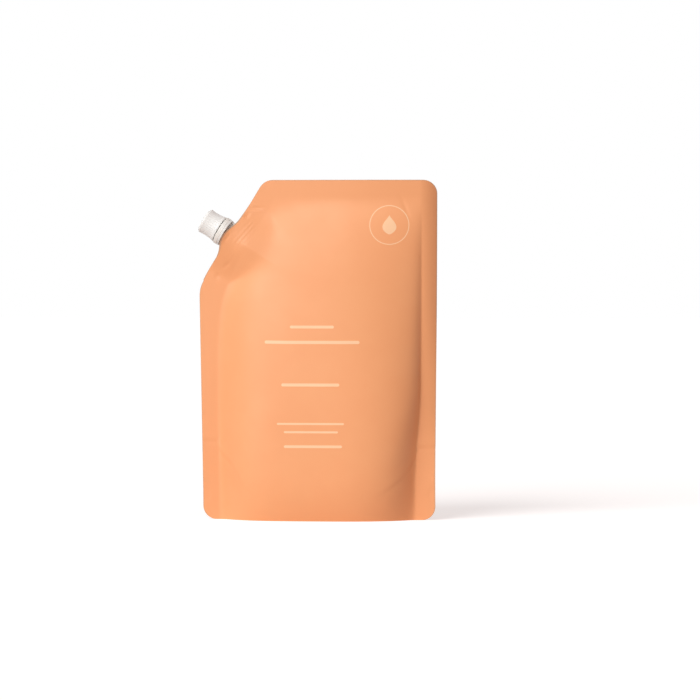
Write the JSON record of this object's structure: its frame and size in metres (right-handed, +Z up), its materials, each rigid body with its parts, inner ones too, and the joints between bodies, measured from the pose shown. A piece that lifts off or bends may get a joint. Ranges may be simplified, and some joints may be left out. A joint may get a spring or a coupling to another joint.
{
  "type": "spouted stand-up refill pouch",
  "caption": "Filled stand-up refill pouch of welded film with a folded bottom gusset and a slanted corner spout, closed by a ribbed screw cap over a loose tamper band.",
  "frame": {"origin": "on the ground under the middle of the pouch, in the flat patch of the bottom film", "axes": "+Z up, the front of the pouch faces -Y, the cut corner with the spout is at -X"},
  "size_m": [0.14, 0.0404, 0.199],
  "materials": {
    "film": "matt laminated film, peach",
    "cap_plastic": "satin moulded, white",
    "spout_plastic": "satin moulded, milky white"
  },
  "bodies": {
    "pouch": {"pouch": "film", "spout": "spout_plastic"},
    "tamper_band": {"tamper_band": "cap_plastic"},
    "cap": {"cap": "cap_plastic"}
  },
  "joints": [
    {"name": "cap_turn", "type": "hinge", "parent": "pouch", "child": "tamper_band", "pos_m": [-0.05443, 0.00306, 0.16803], "axis": [-0.8533, 0.0698, 0.5168], "range_deg": [0, 810]},
    {"name": "cap_lift", "type": "slide", "parent": "tamper_band", "child": "cap", "axis": [-0.8533, 0.0698, 0.5168], "range_m": [0, 0.00675]}
  ],
  "couplings": [
    {"joint": "cap_turn", "follows": "cap_lift", "rad_per_m": 2094.4}
  ]
}
